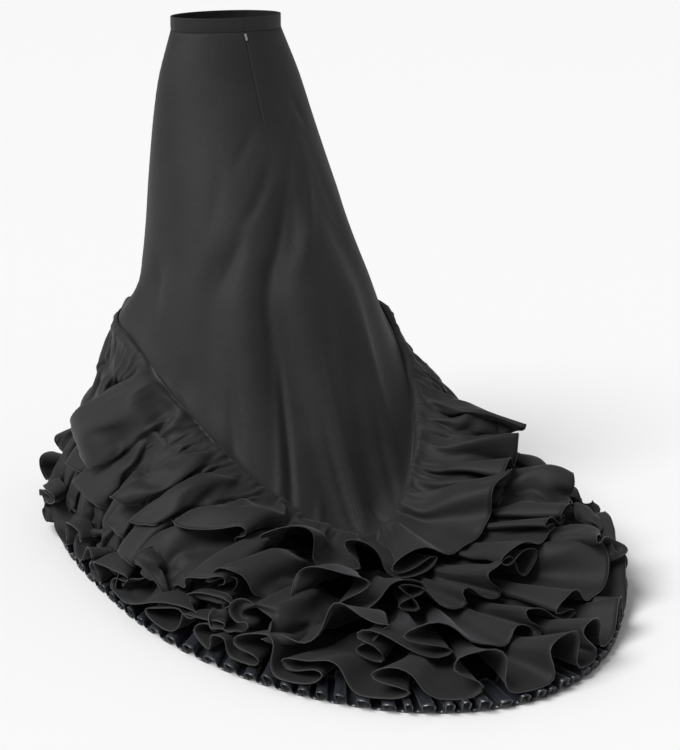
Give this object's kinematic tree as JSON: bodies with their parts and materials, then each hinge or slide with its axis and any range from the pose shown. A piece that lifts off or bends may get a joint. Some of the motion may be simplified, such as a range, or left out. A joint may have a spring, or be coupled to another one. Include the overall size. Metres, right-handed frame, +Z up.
{
  "type": "flamenco skirt with train, worn shape",
  "caption": "Long fitted skirt that flares into a train, with layered flounces round the hem, a gathered edge frill and a short centre back zip.",
  "frame": {"origin": "centre of the waist seam, where the wearer holds the skirt up", "axes": "+Z up along the wearer; the front of the skirt faces -Y and the train lies along +Y; the wearer's left is +X"},
  "size_m": [1.0194, 1.5783, 1.1098],
  "materials": {
    "crepe": "black stretch crepe, matt with a faint sheen",
    "organza": "black gathered organza, slightly shiny",
    "zip_tape": "black woven tape",
    "zip_metal": "bright nickel"
  },
  "bodies": {
    "skirt": {"back_panel_left": "crepe", "front_panel": "crepe", "back_panel_right": "crepe", "waistband": "crepe", "waist_hook": "zip_metal", "zip_tape": "zip_tape", "zip_slider": "zip_metal", "flounce_1_back": "crepe", "flounce_1_left": "crepe", "flounce_1_front": "crepe", "flounce_1_right": "crepe", "flounce_2_back": "crepe", "flounce_2_left": "crepe", "flounce_2_front": "crepe", "flounce_2_right": "crepe", "flounce_3_back": "crepe", "flounce_3_left": "crepe", "flounce_3_front": "crepe", "flounce_3_right": "crepe", "flounce_4_back": "crepe", "flounce_4_left": "crepe", "flounce_4_front": "crepe", "flounce_4_right": "crepe", "frill_back": "organza", "frill_left": "organza", "frill_front": "organza", "frill_right": "organza"},
    "pull_tab": {"pull_tab": "zip_metal"}
  },
  "joints": [
    {"name": "pull_tab_hinge", "type": "hinge", "parent": "skirt", "child": "pull_tab", "pos_m": [0, 0.09299, -0.00656], "axis": [1, 0, 0], "range_deg": [0, 150]}
  ]
}
